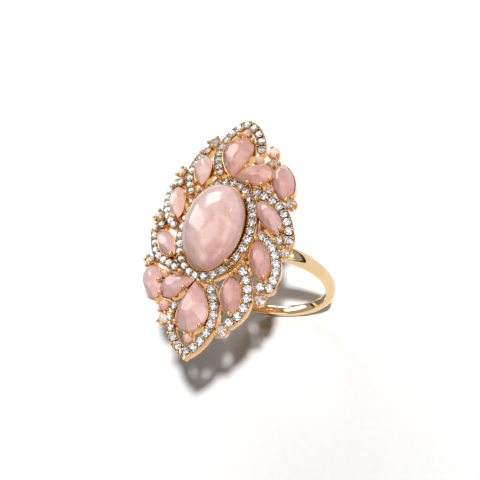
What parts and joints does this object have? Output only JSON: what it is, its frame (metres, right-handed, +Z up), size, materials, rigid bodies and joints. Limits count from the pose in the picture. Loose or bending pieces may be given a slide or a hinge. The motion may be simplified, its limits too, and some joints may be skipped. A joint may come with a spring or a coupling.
{
  "type": "cocktail ring",
  "caption": "Large navette-shaped cocktail ring: an oval pink cabochon in a halo, with petals of smaller pink stones and small clear stones on a slim gold band.",
  "frame": {"origin": "middle of the ring at the lowest point of the shank, where it would touch a table", "axes": "+Z up through the face, +Y along the finger and the face's long axis, +X across the finger"},
  "size_m": [0.0204, 0.0332, 0.0265],
  "materials": {
    "gold": "polished warm yellow gold",
    "pink_opal": "polished, milky and faintly translucent",
    "pale_opal": "polished, milky, paler than the large stones",
    "diamond": "clear, faceted, bright",
    "pale_gem": "faceted, very pale pink"
  },
  "bodies": {
    "root": {"accent_stone_lower_a": "pale_gem", "accent_stone_lower_b": "pale_gem", "accent_stone_middle_a": "pale_gem", "accent_stone_middle_b": "pale_gem", "accent_stone_tip_a": "pale_gem", "accent_stone_tip_b": "pale_gem", "accent_stone_upper_a": "pale_gem", "accent_stone_upper_b": "pale_gem", "centre_cabochon": "pink_opal", "centre_setting": "gold", "cluster_setting_a": "gold", "cluster_setting_b": "gold", "diamond_row_lower_a": "diamond", "diamond_row_lower_b": "diamond", "diamond_row_middle_a": "diamond", "diamond_row_middle_b": "diamond", "diamond_row_upper_a": "diamond", "diamond_row_upper_b": "diamond", "gallery_rail": "gold", "halo_diamonds": "diamond", "large_pear_a": "pink_opal", "large_pear_b": "pink_opal", "marquise_lower_a": "pale_opal", "marquise_lower_b": "pale_opal", "marquise_middle_a": "pale_opal", "marquise_middle_b": "pale_opal", "marquise_upper_a": "pale_opal", "marquise_upper_b": "pale_opal", "oval_opal_a": "pink_opal", "oval_opal_b": "pink_opal", "petal_frame_lower_a": "gold", "petal_frame_lower_b": "gold", "petal_frame_middle_a": "gold", "petal_frame_middle_b": "gold", "petal_frame_upper_a": "gold", "petal_frame_upper_b": "gold", "round_opal_edge_a": "pale_opal", "round_opal_edge_b": "pale_opal", "round_opal_extra": "pale_opal", "round_opal_inner_a": "pale_opal", "round_opal_inner_b": "pale_opal", "round_opal_outer_a": "pale_opal", "round_opal_outer_b": "pale_opal", "round_opal_tip_a": "pale_opal", "round_opal_tip_b": "pale_opal", "shank": "gold", "small_pear_a": "pink_opal", "small_pear_b": "pink_opal", "tip_diamonds_a": "diamond", "tip_diamonds_b": "diamond", "tip_frame_a": "gold", "tip_frame_b": "gold"}
  },
  "joints": []
}
